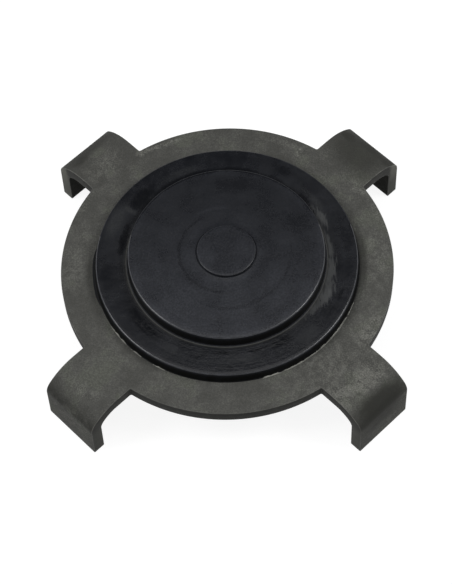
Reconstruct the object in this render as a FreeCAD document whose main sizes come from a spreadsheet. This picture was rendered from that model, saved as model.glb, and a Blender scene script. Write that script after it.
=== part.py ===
import FreeCAD, Part
import math
import os
from collections import namedtuple

import Sketcher

# Clip-on rubber pad for the arm of a vehicle lift, moulded in one piece.
# Millimetres, +Z up. The origin is the centre of the underside, where the pad sits on the arm's
# round steel plate. The clips lie on the X and Y axes, reach down past the steel plate's rim and
# carry the pad when it stands by itself.

# Driving sizes, in mm and degrees, from the base plate up and then out to the clips. The disc
# diameters are at the foot of their leaning walls, clip_gap is the distance between the inner faces of
# two opposite clips at their tips, and each skin of a clip turns down through a wide arc and a tight one.
SIZES = {
    "plate_diameter": 127.0,
    "plate_thickness": 4.95,
    "lower_disc_diameter": 100.7,
    "lower_disc_height": 4.55,
    "upper_disc_diameter": 75.7,
    "upper_disc_height": 5.05,
    "disc_draft_angle": 7.0,
    "disc_edge_radius": 0.8,
    "button_diameter": 22.4,
    "button_height": 0.9,
    "button_edge_radius": 0.35,
    "clip_count": 4,
    "clip_width": 25.0,
    "clip_thickness": 4.85,
    "clip_gap": 155.9,
    "clip_drop": 19.3,
    "clip_flare_angle": 1.0,
    "bend_first_angle": 40.0,
    "outer_bend_first_radius": 18.8,
    "outer_bend_last_radius": 5.8,
    "inner_bend_first_radius": 10.4,
    "inner_bend_last_radius": 3.7,
    "clip_root_radius": 1.0,
    "rim_edge_bevel": 0.4,
}

# The raised steps of the pad, from the lowest up.
STEP_NAMES = ("lower_disc", "upper_disc", "button")

FULL_TURN = 360

# How close two lengths must be to count as the same.
SAME = Part.Precision.confusion()

# Names for the ends of a sketch edge, and for the sketch's own origin.
START, END = 1, 2
ORIGIN_POINT = (-1, 1)


def add_sizes(doc):
    """The sheet of driving sizes, one named cell each."""
    sheet = doc.addObject("Spreadsheet::Sheet", "Sizes")
    for row, (name, value) in enumerate(SIZES.items(), start=1):
        sheet.set(f"A{row}", name.replace("_", " "))
        sheet.set(f"B{row}", str(value))
        sheet.setAlias(f"B{row}", name)
    doc.recompute()
    return sheet


def origin_feature(body, role):
    """One of the body's own origin planes or axes."""
    return next(item for item in body.Origin.OriginFeatures if item.Role == role)


def add_sketch(body, name, plane):
    """An empty sketch on one of the body's origin planes."""
    sketch = body.newObject("Sketcher::SketchObject", name)
    sketch.AttachmentSupport = [(origin_feature(body, plane), "")]
    sketch.MapMode = "FlatFace"
    return sketch


def constrain(sketch, kind, *where):
    """A rule of shape that has no size, such as a level line."""
    return sketch.addConstraint(Sketcher.Constraint(kind, *where))


def dimension(sketch, name, rule, kind, *where):
    """A named dimension of the sketch that follows the sheet."""
    index = sketch.addConstraint(Sketcher.Constraint(kind, *where))
    sketch.renameConstraint(index, name)
    sketch.setExpression(f"Constraints.{name}", rule)


def point(across, up):
    """A point of a sketch, from its distance off the axis and its height."""
    return FreeCAD.Vector(across, up, 0)


def add_line(sketch, start, end):
    """A straight edge of an outline."""
    return sketch.addGeometry(Part.LineSegment(point(*start), point(*end)), False)


def add_arc(sketch, centre, radius, low, high):
    """A round edge of an outline, between two angles in radians."""
    circle = Part.Circle(point(*centre), FreeCAD.Vector(0, 0, 1), radius)
    return sketch.addGeometry(Part.ArcOfCircle(circle, low, high), False)


Step = namedtuple("Step", "name foot_radius top_radius foot_level top_level")


def raised_steps():
    """The steps that stand on the base plate, from the lowest up. Moulded walls lean in by the draft."""
    draft = math.tan(math.radians(SIZES["disc_draft_angle"]))
    level = SIZES["plate_thickness"]
    steps = []
    for name in STEP_NAMES:
        height = SIZES[f"{name}_height"]
        foot = SIZES[f"{name}_diameter"] / 2
        steps.append(Step(name, foot, foot - height * draft, level, level + height))
        level += height
    return steps


def add_stepped_pad(body):
    """Base plate, both raised discs and the button, turned about the upright axis."""
    sketch = add_sketch(body, "pad_section", "XZ_Plane")
    steps = raised_steps()
    plate_radius = SIZES["plate_diameter"] / 2
    plate_level = SIZES["plate_thickness"]
    corners = [(0, 0), (plate_radius, 0), (plate_radius, plate_level)]
    for step in steps:
        corners += [(step.foot_radius, step.foot_level), (step.top_radius, step.top_level)]
    corners.append((0, steps[-1].top_level))
    edges = [add_line(sketch, start, end) for start, end in zip(corners, corners[1:] + corners[:1])]
    for edge, following in zip(edges, edges[1:] + edges[:1]):
        constrain(sketch, "Coincident", edge, END, following, START)
    base, rim, *stepped, axis = edges
    levels, walls = stepped[0::2], stepped[1::2]
    constrain(sketch, "Coincident", base, START, *ORIGIN_POINT)
    for edge in (base, *levels):
        constrain(sketch, "Horizontal", edge)
    for edge in (rim, axis):
        constrain(sketch, "Vertical", edge)
    radius_rule = "Sizes.plate_diameter / 2"
    thickness_rule = "Sizes.plate_thickness"
    dimension(sketch, "plate_radius", radius_rule, "DistanceX", base, START, base, END, plate_radius)
    dimension(sketch, "plate_thickness", thickness_rule, "DistanceY", rim, START, rim, END, plate_level)
    for step, wall in zip(steps, walls):
        radius_rule = f"Sizes.{step.name}_diameter / 2"
        lean_rule = f"Sizes.{step.name}_height * tan(Sizes.disc_draft_angle * 1 deg)"
        height_rule = f"Sizes.{step.name}_height"
        lean = step.foot_radius - step.top_radius
        height = step.top_level - step.foot_level
        foot = (*ORIGIN_POINT, wall, START)
        dimension(sketch, f"{step.name}_radius", radius_rule, "DistanceX", *foot, step.foot_radius)
        dimension(sketch, f"{step.name}_lean", lean_rule, "DistanceX", wall, END, wall, START, lean)
        dimension(sketch, f"{step.name}_height", height_rule, "DistanceY", wall, START, wall, END, height)
    pad = body.newObject("PartDesign::Revolution", "stepped_pad")
    pad.Profile = sketch
    pad.ReferenceAxis = (origin_feature(body, "Z_Axis"), [""])
    pad.Angle = FULL_TURN
    return pad


def bend_layout(level, tip_across, first_radius, last_radius):
    """The centres of both arcs of one skin of a clip, and where its straight run to the tip starts."""
    first = math.radians(SIZES["bend_first_angle"])
    flare = math.radians(SIZES["clip_flare_angle"])
    spread = first_radius - last_radius
    last_centre_up = level - first_radius + spread * math.cos(first)
    face = tip_across * math.cos(flare) - SIZES["clip_drop"] * math.sin(flare)
    last_centre_across = (face - last_radius - last_centre_up * math.sin(flare)) / math.cos(flare)
    first_centre = (last_centre_across - spread * math.sin(first), level - first_radius)
    last_centre = (last_centre_across, last_centre_up)
    straight_start = (
        last_centre_across + last_radius * math.cos(flare),
        last_centre_up + last_radius * math.sin(flare),
    )
    return first_centre, last_centre, straight_start


def add_bent_skin(sketch, side, level, tip_across):
    """One skin of a clip, from the pad's axis to the clip's tip: flat, wide arc, tight arc, straight."""
    first_radius = SIZES[f"{side}_bend_first_radius"]
    last_radius = SIZES[f"{side}_bend_last_radius"]
    first_centre, last_centre, straight_start = bend_layout(level, tip_across, first_radius, last_radius)
    quarter = math.pi / 2
    split = quarter - math.radians(SIZES["bend_first_angle"])
    flare = math.radians(SIZES["clip_flare_angle"])
    flat = add_line(sketch, (0, level), (first_centre[0], level))
    first_arc = add_arc(sketch, first_centre, first_radius, split, quarter)
    last_arc = add_arc(sketch, last_centre, last_radius, flare, split)
    straight = add_line(sketch, straight_start, (tip_across, -SIZES["clip_drop"]))
    constrain(sketch, "Horizontal", flat)
    constrain(sketch, "Tangent", flat, END, first_arc, END)
    constrain(sketch, "Tangent", first_arc, START, last_arc, END)
    constrain(sketch, "Tangent", last_arc, START, straight, START)
    dimension(sketch, f"{side}_first", f"Sizes.{side}_bend_first_radius", "Radius", first_arc, first_radius)
    dimension(sketch, f"{side}_last", f"Sizes.{side}_bend_last_radius", "Radius", last_arc, last_radius)
    dimension(
        sketch, f"{side}_split", "Sizes.bend_first_angle * 1 deg", "Angle", first_arc,
        math.radians(SIZES["bend_first_angle"]),
    )
    return flat, straight


def add_clips(body):
    """One bent clip, drawn as a section from the pad's axis to its tip, and repeated around the plate."""
    sketch = add_sketch(body, "clip_section", "XZ_Plane")
    flare = math.radians(SIZES["clip_flare_angle"])
    tip_inner = SIZES["clip_gap"] / 2
    tip_breadth = SIZES["clip_thickness"] / math.cos(flare)
    level = SIZES["plate_thickness"]
    top, outer_face = add_bent_skin(sketch, "outer", level, tip_inner + tip_breadth)
    under, inner_face = add_bent_skin(sketch, "inner", 0, tip_inner)
    tip = add_line(sketch, (tip_inner + tip_breadth, -SIZES["clip_drop"]), (tip_inner, -SIZES["clip_drop"]))
    root = add_line(sketch, (0, 0), (0, level))
    constrain(sketch, "Coincident", outer_face, END, tip, START)
    constrain(sketch, "Coincident", tip, END, inner_face, END)
    constrain(sketch, "Coincident", under, START, root, START)
    constrain(sketch, "Coincident", root, END, top, START)
    constrain(sketch, "Vertical", root)
    constrain(sketch, "Horizontal", tip)
    constrain(sketch, "Parallel", inner_face, outer_face)
    constrain(sketch, "Coincident", root, START, *ORIGIN_POINT)
    dimension(sketch, "plate_thickness", "Sizes.plate_thickness", "DistanceY", root, START, root, END, level)
    dimension(sketch, "half_gap", "Sizes.clip_gap / 2", "DistanceX", *ORIGIN_POINT, tip, END, tip_inner)
    dimension(
        sketch, "tip_breadth", "Sizes.clip_thickness / cos(Sizes.clip_flare_angle * 1 deg)", "DistanceX",
        tip, END, tip, START, tip_breadth,
    )
    dimension(sketch, "drop", "Sizes.clip_drop", "DistanceY", tip, END, *ORIGIN_POINT, SIZES["clip_drop"])
    dimension(
        sketch, "flare", "(90 + Sizes.clip_flare_angle) * 1 deg", "Angle", tip, END, inner_face, END,
        math.pi / 2 + flare,
    )
    clip = body.newObject("PartDesign::Pad", "clip")
    clip.Profile = sketch
    clip.SideType = "Symmetric"
    clip.setExpression("Length", "Sizes.clip_width")
    clips = body.newObject("PartDesign::PolarPattern", "clips")
    clips.Originals = [clip]
    clips.Axis = (origin_feature(body, "Z_Axis"), [""])
    clips.Angle = FULL_TURN
    clips.setExpression("Occurrences", "Sizes.clip_count")
    body.Tip = clips
    return clips


def distance_off_axis(vertex):
    """How far a corner of the solid is from the upright axis."""
    return math.hypot(vertex.X, vertex.Y)


def is_circle(edge, radius, level):
    """Whether an edge is the level circle of this radius at this height."""
    if not isinstance(edge.Curve, Part.Circle):
        return False
    level_match = all(abs(vertex.Z - level) < SAME for vertex in edge.Vertexes)
    return level_match and abs(edge.Curve.Radius - radius) < SAME


def is_clip_root(edge):
    """Whether an edge is the upright corner between a clip's side and the plate's rim."""
    if not isinstance(edge.Curve, Part.Line):
        return False
    first, last = edge.Vertexes
    upright = math.hypot(first.X - last.X, first.Y - last.Y) < SAME
    at_rim = abs(distance_off_axis(first) - SIZES["plate_diameter"] / 2) < SAME
    return upright and at_rim


def soften_edges(body, kind, name, base, size, chosen):
    """Takes the sharpness off the edges of the base feature that the test chooses."""
    body.Document.recompute()
    names = [f"Edge{i}" for i, edge in enumerate(base.Shape.Edges, start=1) if chosen(edge)]
    if not names:
        raise RuntimeError(f"{name}: no edge chosen")
    feature = body.newObject(f"PartDesign::{kind}", name)
    feature.Base = (base, names)
    feature.setExpression("Radius" if kind == "Fillet" else "Size", f"Sizes.{size}")
    body.Tip = feature
    return feature


def add_edge_forms(body, clips):
    """Rounded clip roots, a bevel along the rim and on down both sides of each clip, rounded step tops."""
    lower_disc, upper_disc, button = raised_steps()

    def is_rim(edge):
        return is_circle(edge, SIZES["plate_diameter"] / 2, SIZES["plate_thickness"])

    def is_disc_top(edge):
        return any(is_circle(edge, disc.top_radius, disc.top_level) for disc in (lower_disc, upper_disc))

    def is_button_top(edge):
        return is_circle(edge, button.top_radius, button.top_level)

    roots = soften_edges(body, "Fillet", "clip_roots", clips, "clip_root_radius", is_clip_root)
    rim = soften_edges(body, "Chamfer", "rim_edge", roots, "rim_edge_bevel", is_rim)
    tops = soften_edges(body, "Fillet", "disc_tops", rim, "disc_edge_radius", is_disc_top)
    return soften_edges(body, "Fillet", "button_top", tops, "button_edge_radius", is_button_top)


def check(doc, bodies):
    """Stops if any feature failed or any body is not one valid solid."""
    for item in doc.Objects:
        if "Invalid" in item.State or "Error" in item.State:
            raise RuntimeError(f"{item.Name} failed: {item.State}")
        if item.TypeId == "Sketcher::SketchObject" and not item.FullyConstrained:
            raise RuntimeError(f"{item.Name} isn't fully constrained")
    for body in bodies:
        if body.Shape.isNull() or not body.Shape.isValid() or len(body.Shape.Solids) != 1:
            raise RuntimeError(f"{body.Label} is not one valid solid")


def main():
    doc = FreeCAD.newDocument("lift_arm_pad")
    add_sizes(doc)
    pad = doc.addObject("PartDesign::Body", "lift_arm_pad")
    pad.Label = "lift_arm_pad"
    pad.Placement = FreeCAD.Placement()
    add_stepped_pad(pad)
    clips = add_clips(pad)
    add_edge_forms(pad, clips)
    doc.recompute()
    check(doc, [pad])
    os.makedirs("parts", exist_ok=True)
    pad.Shape.exportStep(f"parts/{pad.Label}.step")
    print(f"{pad.Label}: {pad.Shape.Volume:.1f} mm3, {len(pad.Shape.Faces)} faces, box {pad.Shape.BoundBox}")


main()
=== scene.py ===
import math

import bmesh
import bpy
from mathutils import Matrix, Vector


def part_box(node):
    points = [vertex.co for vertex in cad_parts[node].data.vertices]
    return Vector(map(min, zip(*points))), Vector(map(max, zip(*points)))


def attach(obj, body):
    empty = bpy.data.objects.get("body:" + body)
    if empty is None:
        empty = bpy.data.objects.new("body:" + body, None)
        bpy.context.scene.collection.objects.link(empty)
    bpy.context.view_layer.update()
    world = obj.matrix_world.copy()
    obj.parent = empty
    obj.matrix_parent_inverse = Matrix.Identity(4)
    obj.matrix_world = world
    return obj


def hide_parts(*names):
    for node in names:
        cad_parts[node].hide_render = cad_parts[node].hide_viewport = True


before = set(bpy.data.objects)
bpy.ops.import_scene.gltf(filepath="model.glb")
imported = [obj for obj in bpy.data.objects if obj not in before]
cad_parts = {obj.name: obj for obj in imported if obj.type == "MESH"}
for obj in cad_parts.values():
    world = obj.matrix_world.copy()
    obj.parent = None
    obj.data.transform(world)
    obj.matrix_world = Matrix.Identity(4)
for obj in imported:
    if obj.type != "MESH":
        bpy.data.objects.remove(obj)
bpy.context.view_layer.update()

bl_info = {
    "name": "Lift arm rubber pad",
    "version": (1, 0, 0),
    "blender": (4, 5, 0),
    "location": "3D View > Sidebar > Lift pad",
    "description": "Moulded rubber pad with stepped discs and four bent clips, on a white studio floor",
    "category": "Add Mesh",
}

CAD_NODE = "lift_arm_pad"
BODY = "root"
FLOOR_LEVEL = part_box(CAD_NODE)[0].z

MM = 0.001
ORIGIN = (0.0, 0.0, 0.0)
PHOTO_WIDTH, PHOTO_HEIGHT = 452, 584
SENSOR = 36.0
# How far the photograph's view is turned from the pad's own axes
VIEW_TURN = math.radians(41.945)
# Points closer than SAME_PLACE are one point, and the other two are the slack of tests on places
SAME_PLACE = 1e-6
CLOSE, LOOSE = 0.01 * MM, 0.05 * MM
# Steps round the rim, and along a clip's level part, wide bend, tight bend and leg
RIM_STEPS = 316
FLAT_STEPS, WIDE_STEPS, TIGHT_STEPS, LEG_STEPS = 2, 7, 8, 5
# How far a clip runs level past the rim before its first ring
LEVEL_PAST_RIM = 1.4 * MM
# Steps of every rounded edge: disc edges, clip roots and the outline
EDGE_STEPS, ROOT_STEPS, OUTLINE_STEPS = 5, 4, 3
# A drafted edge turns by 83 degrees and a clip's root by 79, so their bevels are narrower than
# their radii by these shares
EDGE_BEVEL, ROOT_BEVEL = 0.88, 0.82
# Shares of the plate's radius: the outline lies outside the first, and the +X clip's part of the
# rim lies past the second along X
OUTLINE_SHARE, RIM_SHARE = 0.95, 0.9
# How much the button's top edge is flattened towards its straight side
CHORD_SQUEEZE = 0.2
# Outline edges sharper than the first are rounded, and edges below the other two are shaded smooth
SHARP_FROM = math.radians(55)
SMOOTH_BELOW, FLASH_SMOOTH_BELOW = math.radians(30), math.radians(40)
# Limits on a face's normal: up from which it is level, up below which it is steep, and how much
# it may lean and still be an upright side
LEVEL_FROM, STEEP_BELOW, LEANING = 0.97, 0.2, 0.3
# The most that a clip root's rounding leans, and the least that a clip's side faces across the clip
UPRIGHT, SQUARE_ON = 0.1, 0.9
# Cosine of the widest angle from the far direction at which a disc's edge still faces away, and so takes
# the walls' painted shade rather than a painted highlight
FAR_FROM = 0.25
# The pad's skins in the order of their slots, after the grey one in slot 0
BLACK_SLOT, WALL_SHADE_SLOT, EDGE_HIGHLIGHT_SLOT, WORN_HIGHLIGHT_SLOT, SIDE_SHADE_SLOT, INNER_SLOT = 1, 2, 3, 4, 5, 6


# Fields of the property groups


def length(name, description, millimetres):
    return bpy.props.FloatProperty(
        name=name, description=description, default=millimetres * MM, precision=5, unit="LENGTH")


def angle(name, description, degrees):
    return bpy.props.FloatProperty(
        name=name, description=description, default=math.radians(degrees), subtype="ANGLE")


def share(name, description, value):
    return bpy.props.FloatProperty(
        name=name, description=description, default=value, min=0.0, max=1.0, subtype="FACTOR")


def colour(name, description, value):
    return bpy.props.FloatVectorProperty(
        name=name, description=description, default=value, size=3, min=0.0, max=1.0,
        subtype="COLOR")


class PadSizes(bpy.types.PropertyGroup):
    """Sizes of the moulded pad"""

    plate_radius: length("Plate radius", "Radius of the base plate", 63.5)
    plate_thickness: length("Plate thickness", "Thickness of the base plate", 4.95)
    lower_foot: length("Lower disc foot", "Radius of the lower disc where it meets the plate", 50.35)
    lower_top: length("Lower disc top", "Radius of the lower disc at its top face", 49.79)
    lower_level: length("Lower disc level", "Height of the lower disc's top face", 9.5)
    upper_foot: length("Upper disc foot", "Radius of the upper disc where it meets the lower one", 37.85)
    upper_top: length("Upper disc top", "Radius of the upper disc at its top face", 37.23)
    upper_level: length("Upper disc level", "Height of the upper disc's top face", 14.55)
    button_foot: length("Button foot", "Radius of the button where it meets the upper disc", 11.2)
    button_top: length("Button top", "Radius of the button at its top face", 11.09)
    button_level: length("Button level", "Height of the button's top face", 15.45)
    disc_rounding: length("Disc edge rounding", "Radius on the top edge of both discs", 0.6)
    foot_rounding: length("Disc foot rounding", "Radius in the corner at the foot of both discs", 0.5)
    button_rounding: length("Button edge rounding", "Radius on the top edge of the button", 0.35)
    chord_out: length("Chord distance", "Distance of the button's straight side from the axis", 10.2)
    chord_direction: angle("Chord direction", "Direction of the button's straight side in the view", 53.5)
    groove_width: length("Groove width", "Width of the fine groove round the button", 0.42)
    groove_depth: length("Groove depth", "Depth of the fine groove round the button", 0.2)
    lip_height: length("Lip height", "Height of the low lip outside the groove", 0.045)
    rim_rounding: length("Rim rounding", "Width of the rounding along the pad's outline", 0.2)
    clip_half_width: length("Clip half width", "Half the width of a clip", 12.5)
    clip_root: length("Clip root rounding", "Radius in the corner between a clip and the rim", 0.7)
    clip_tip: length("Clip tip level", "Height of the clips' tips", -19.3)
    tip_outer: length("Tip outer place", "Distance from the axis to a tip's outer face", 82.801)
    tip_inner: length("Tip inner place", "Distance from the axis to a tip's inner face", 77.95)
    first_bend_end: angle("First bend end", "Angle at which the wide bend turns into the tight one", 50.0)
    last_bend_end: angle("Last bend end", "Angle at which the tight bend runs into the straight leg", 1.0)
    outer_wide_radius: length("Outer wide radius", "Radius of the outer skin's wide bend", 18.8)
    outer_wide_x: length("Outer wide place", "Centre of the outer skin's wide bend from the axis", 68.375)
    outer_tight_radius: length("Outer tight radius", "Radius of the outer skin's tight bend", 5.8)
    inner_wide_radius: length("Inner wide radius", "Radius of the inner skin's wide bend", 10.4)
    inner_wide_x: length("Inner wide place", "Centre of the inner skin's wide bend from the axis", 69.698)
    inner_tight_radius: length("Inner tight radius", "Radius of the inner skin's tight bend", 3.7)


class PadColours(bpy.types.PropertyGroup):
    """Colours and finish of the moulded pad"""

    grey: colour("Grey skin", "Matte skin of the plate and clips", (0.0820, 0.0822, 0.0762))
    grey_dark: colour("Olive patches", "Darker patches of the grey skin", (0.044, 0.0442, 0.0395))
    # This dust colour is also the painted highlight on the worn outline edges and the far clips' pale
    # corners
    grey_dust_and_highlight: colour("Dust", "Dry dust on the grey skin", (0.19, 0.19, 0.17))
    black: colour("Black skin", "Smoother skin of the raised discs", (0.0060, 0.0068, 0.0092))
    # These darker patches include a painted shadow behind and along the upper disc's far side
    black_deep_and_shadow: colour("Deep patches", "Darker patches of the black skin", (0.0030, 0.0034, 0.0046))
    # Painted shade: the walls' near-black is a darker copy of the black skin, and also darkens the plate
    # by the lower disc's foot
    wall_shade: colour("Disc walls", "Walls of the discs", (0.0022, 0.0024, 0.0022))
    # Painted shade: the grey darkens towards the far side
    grey_far_shade: colour("Grey skin, far side", "Slightly darker grey of the far side", (0.057, 0.0572, 0.053))
    # This colour is also painted light: a sheen on the upper disc's near side and highlights on the disc
    # edges and walls
    film_and_sheen: colour("Film", "Dusty film on the upper disc", (0.044, 0.047, 0.057))
    flash: colour("Flash", "Thin ragged skin at the lower disc's foot", (0.28, 0.28, 0.25))
    # Partly painted highlight: this colour also draws the pale line at the upper disc's foot
    smear_and_highlight: colour("Smear", "Dried mould release by the disc feet", (0.062, 0.062, 0.056))
    # Painted shade: the upright sides are a darker copy of the grey skin
    side_shade: colour("Shaded sides", "Cut sides of the rim and the clips", (0.036, 0.0362, 0.034))
    # Partly dust and partly painted light: the legs' sides are paler than the rest of the sides
    leg_dust_and_light: colour("Clip legs", "Sides of the clips' legs", (0.165, 0.166, 0.148))
    haze: colour("Haze", "Pale brushed smear on the right of the lower disc", (0.078, 0.081, 0.081))
    moss: colour("Greenish patches", "Slightly greener patches of the grey skin", (0.086, 0.092, 0.074))
    stain: colour("Stain", "Dark olive stains of the grey skin", (0.026, 0.0262, 0.0225))
    grey_roughness: share("Grey roughness", "Roughness of the plate and clips", 0.78)
    black_roughness: share("Black roughness", "Roughness of the discs", 0.25)


class StudioSettings(bpy.types.PropertyGroup):
    """Floor, lamps and camera"""

    lens: bpy.props.FloatProperty(
        name="Lens", description="Focal length of the camera, in millimetres", default=114.17,
        unit="CAMERA")
    camera_distance: length("Camera distance", "Distance of the camera from the pad's underside", 711.2)
    elevation: angle("Elevation", "Height of the camera above the horizon", 59.1761)
    roll: angle("Roll", "Turn of the camera about its own axis", 3.0139)
    pad_x: bpy.props.FloatProperty(
        name="Pad across", description="Pixel column where the middle of the underside lands",
        default=227.9107 + 0.5)
    pad_y: bpy.props.FloatProperty(
        name="Pad down", description="Pixel row where the middle of the underside lands",
        default=270.8887 + 0.5)
    floor: colour("Floor", "Colour of the floor and backdrop", (0.2, 0.2, 0.2))
    floor_glow: share("Floor glow", "Share of plain white that the camera sees in the floor", 0.90)
    sky: share("Sky", "Strength of the even light from all round", 0.10)


# Modelling steps that the operators share


def start_alone():
    """Leaves edit mode and deselects everything"""
    if bpy.context.object and bpy.context.object.mode != "OBJECT":
        bpy.ops.object.mode_set(mode="OBJECT")
    bpy.ops.object.select_all(action="DESELECT")


def name_piece(name):
    piece = bpy.context.object
    piece.name = name
    piece.data.name = name
    return piece


def pick(piece, kind, test):
    """Selects only the vertices, edges or faces for which the test says yes"""
    bpy.ops.mesh.select_mode(type=kind)
    bpy.ops.mesh.select_all(action="DESELECT")
    mesh = bmesh.from_edit_mesh(piece.data)
    elements = {"VERT": mesh.verts, "EDGE": mesh.edges, "FACE": mesh.faces}[kind]
    found = [element for element in elements if test(element)]
    for element in found:
        element.select_set(True)
    mesh.select_flush_mode()
    bmesh.update_edit_mesh(piece.data)
    if not found:
        raise RuntimeError("nothing of " + piece.name + " was found to shape")
    return len(found)


def distance_out(point):
    return math.hypot(point.x, point.y)


def scale_to(factors, centre):
    bpy.ops.transform.resize(value=factors, center_override=centre)


def turn_about_axis(turn):
    """Turns the selection about the pad's axis. Without a window the operator turns the other way."""
    bpy.ops.transform.rotate(value=-turn, orient_axis="Z", center_override=ORIGIN)


def raise_rings(rings, extrude):
    """Extrudes the selection on the first ring through all the others, given by radius and level"""
    for (radius, level), (next_radius, next_level) in zip(rings, rings[1:]):
        extrude(TRANSFORM_OT_translate={"value": (0.0, 0.0, next_level - level)})
        factor = next_radius / radius
        scale_to((factor, factor, 1.0), (0.0, 0.0, next_level))


def face_outwards():
    bpy.ops.mesh.select_all(action="SELECT")
    bpy.ops.mesh.normals_make_consistent(inside=False)


def evenly(first, last, count):
    """Values after first, in count even steps up to last"""
    return [first + (last - first) * step / count for step in range(1, count + 1)]


def round_edges(width, steps):
    bpy.ops.mesh.bevel(offset=width, offset_type="OFFSET", segments=steps, affect="EDGES",
                       clamp_overlap=False, loop_slide=False)


def round_ring(piece, radius, level, width, steps):
    """Rounds the circular edge at that radius and level"""
    def on_ring(edge):
        return all(abs(distance_out(v.co) - radius) < LOOSE
                   and abs(v.co.z - level) < CLOSE for v in edge.verts)
    pick(piece, "EDGE", on_ring)
    round_edges(width, steps)


# The moulded pad


def bend_point(bend, turn):
    """A point on a bend, given as its radius and the place and height of its centre"""
    radius, centre_x, centre_z = bend
    return centre_x + radius * math.cos(turn), centre_z + radius * math.sin(turn)


def tight_bend(wide, tight_radius, turn):
    """The tight bend that runs on from the wide one at that angle without a kink"""
    radius, centre_x, centre_z = wide
    apart = radius - tight_radius
    return tight_radius, centre_x + apart * math.cos(turn), centre_z + apart * math.sin(turn)


def clip_stations(sizes):
    """Outer and inner points of a clip's section, from just past the rim to the tip"""
    top = sizes.plate_thickness
    outer_wide = (sizes.outer_wide_radius, sizes.outer_wide_x, top - sizes.outer_wide_radius)
    inner_wide = (sizes.inner_wide_radius, sizes.inner_wide_x, -sizes.inner_wide_radius)
    outer_tight = tight_bend(outer_wide, sizes.outer_tight_radius, sizes.first_bend_end)
    inner_tight = tight_bend(inner_wide, sizes.inner_tight_radius, sizes.first_bend_end)
    level_start = sizes.plate_radius + LEVEL_PAST_RIM
    stations = [((level_start, top), (level_start, 0.0))]
    for outer, inner in zip(evenly(level_start, outer_wide[1], FLAT_STEPS),
                            evenly(level_start, inner_wide[1], FLAT_STEPS)):
        stations.append(((outer, top), (inner, 0.0)))
    for turn in evenly(math.pi / 2, sizes.first_bend_end, WIDE_STEPS):
        stations.append((bend_point(outer_wide, turn), bend_point(inner_wide, turn)))
    for turn in evenly(sizes.first_bend_end, sizes.last_bend_end, TIGHT_STEPS):
        stations.append((bend_point(outer_tight, turn), bend_point(inner_tight, turn)))
    outer_end, inner_end = stations[-1]
    outer_tip = (sizes.tip_outer, sizes.clip_tip)
    inner_tip = (sizes.tip_inner, sizes.clip_tip)
    for part in evenly(0.0, 1.0, LEG_STEPS):
        stations.append((
            tuple(a + (b - a) * part for a, b in zip(outer_end, outer_tip)),
            tuple(a + (b - a) * part for a, b in zip(inner_end, inner_tip))))
    return stations


def clip_side(sizes):
    return sizes.clip_half_width + LOOSE


def rim_root(sizes):
    """Distance from the axis, along a clip, to the corner where its side leaves the rim"""
    return math.sqrt(sizes.plate_radius ** 2 - sizes.clip_half_width ** 2)


def is_rim_face(face, sizes):
    half_thickness = sizes.plate_thickness / 2
    return len(face.verts) == 4 and abs(face.calc_center_median().z - half_thickness) < SAME_PLACE


def in_row(point, place):
    return abs(point.x - place[0]) < CLOSE and abs(point.z - place[1]) < CLOSE


def flatten_to_row(place):
    """Moves the selection onto a straight row across the clip at the place"""
    scale_to((0.0, 1.0, 0.0), (place[0], 0.0, place[1]))


def extrude_clip(piece, sizes):
    """Extrudes the rim on the pad's +X side along one clip, station by station"""
    side = clip_side(sizes)
    half_thickness = sizes.plate_thickness / 2

    def is_first_rim(face):
        middle = face.calc_center_median()
        return (is_rim_face(face, sizes) and abs(middle.y) < side
                and middle.x > sizes.plate_radius * RIM_SHARE)
    pick(piece, "FACE", is_first_rim)
    last_outer = None
    for outer, inner in clip_stations(sizes):
        bpy.ops.mesh.extrude_region_move(TRANSFORM_OT_translate={"value": ORIGIN})
        mesh = bmesh.from_edit_mesh(piece.data)
        moved = {v.index for v in mesh.verts if v.select}
        pick(piece, "VERT", lambda v: v.index in moved and (
            in_row(v.co, last_outer) if last_outer else v.co.z > half_thickness))
        flatten_to_row(outer)
        pick(piece, "VERT", lambda v: v.index in moved and not in_row(v.co, outer))
        flatten_to_row(inner)
        pick(piece, "FACE", lambda face: all(
            in_row(v.co, outer) or in_row(v.co, inner) for v in face.verts))
        last_outer = outer


def copy_clip(piece, sizes):
    """Opens the rim at the other three places and welds a turned copy of the clip to each"""
    side = clip_side(sizes)

    def is_other_rim(face):
        middle = face.calc_center_median()
        in_clip = abs(middle.x) < side or abs(middle.y) < side
        return (is_rim_face(face, sizes) and in_clip and middle.x < sizes.plate_radius * RIM_SHARE
                and distance_out(middle) > sizes.plate_radius * OUTLINE_SHARE)
    pick(piece, "FACE", is_other_rim)
    bpy.ops.mesh.delete(type="FACE")
    root = rim_root(sizes) - LOOSE
    pick(piece, "FACE", lambda face: all(v.co.x > root and abs(v.co.y) < side for v in face.verts))
    for _ in range(3):
        bpy.ops.mesh.duplicate()
        turn_about_axis(math.pi / 2)
    bpy.ops.mesh.select_all(action="SELECT")
    bpy.ops.mesh.remove_doubles(threshold=SAME_PLACE * 5)
    face_outwards()


def square_spans(piece, sizes):
    """Moves the rim's vertices a hair so that each clip's sides start at its half width"""
    steps_per_side = round(math.asin(sizes.clip_half_width / sizes.plate_radius) / math.tau * RIM_STEPS)
    edge_turn = steps_per_side * math.tau / RIM_STEPS
    factor = sizes.clip_half_width / (sizes.plate_radius * math.sin(edge_turn))
    reach = sizes.plate_radius * math.sin(edge_turn) + CLOSE
    pick(piece, "VERT", lambda v: abs(v.co.y) < reach)
    scale_to((1.0, factor, 1.0), ORIGIN)
    pick(piece, "VERT", lambda v: abs(v.co.x) < reach)
    scale_to((factor, 1.0, 1.0), ORIGIN)


# Flat kept free of rings beside a disc's foot, inside its top edge and outside the groove's lip
FOOT_MARGIN, TOP_MARGIN, GROOVE_MARGIN = 1.2 * MM, 0.3 * MM, 0.9 * MM
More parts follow.
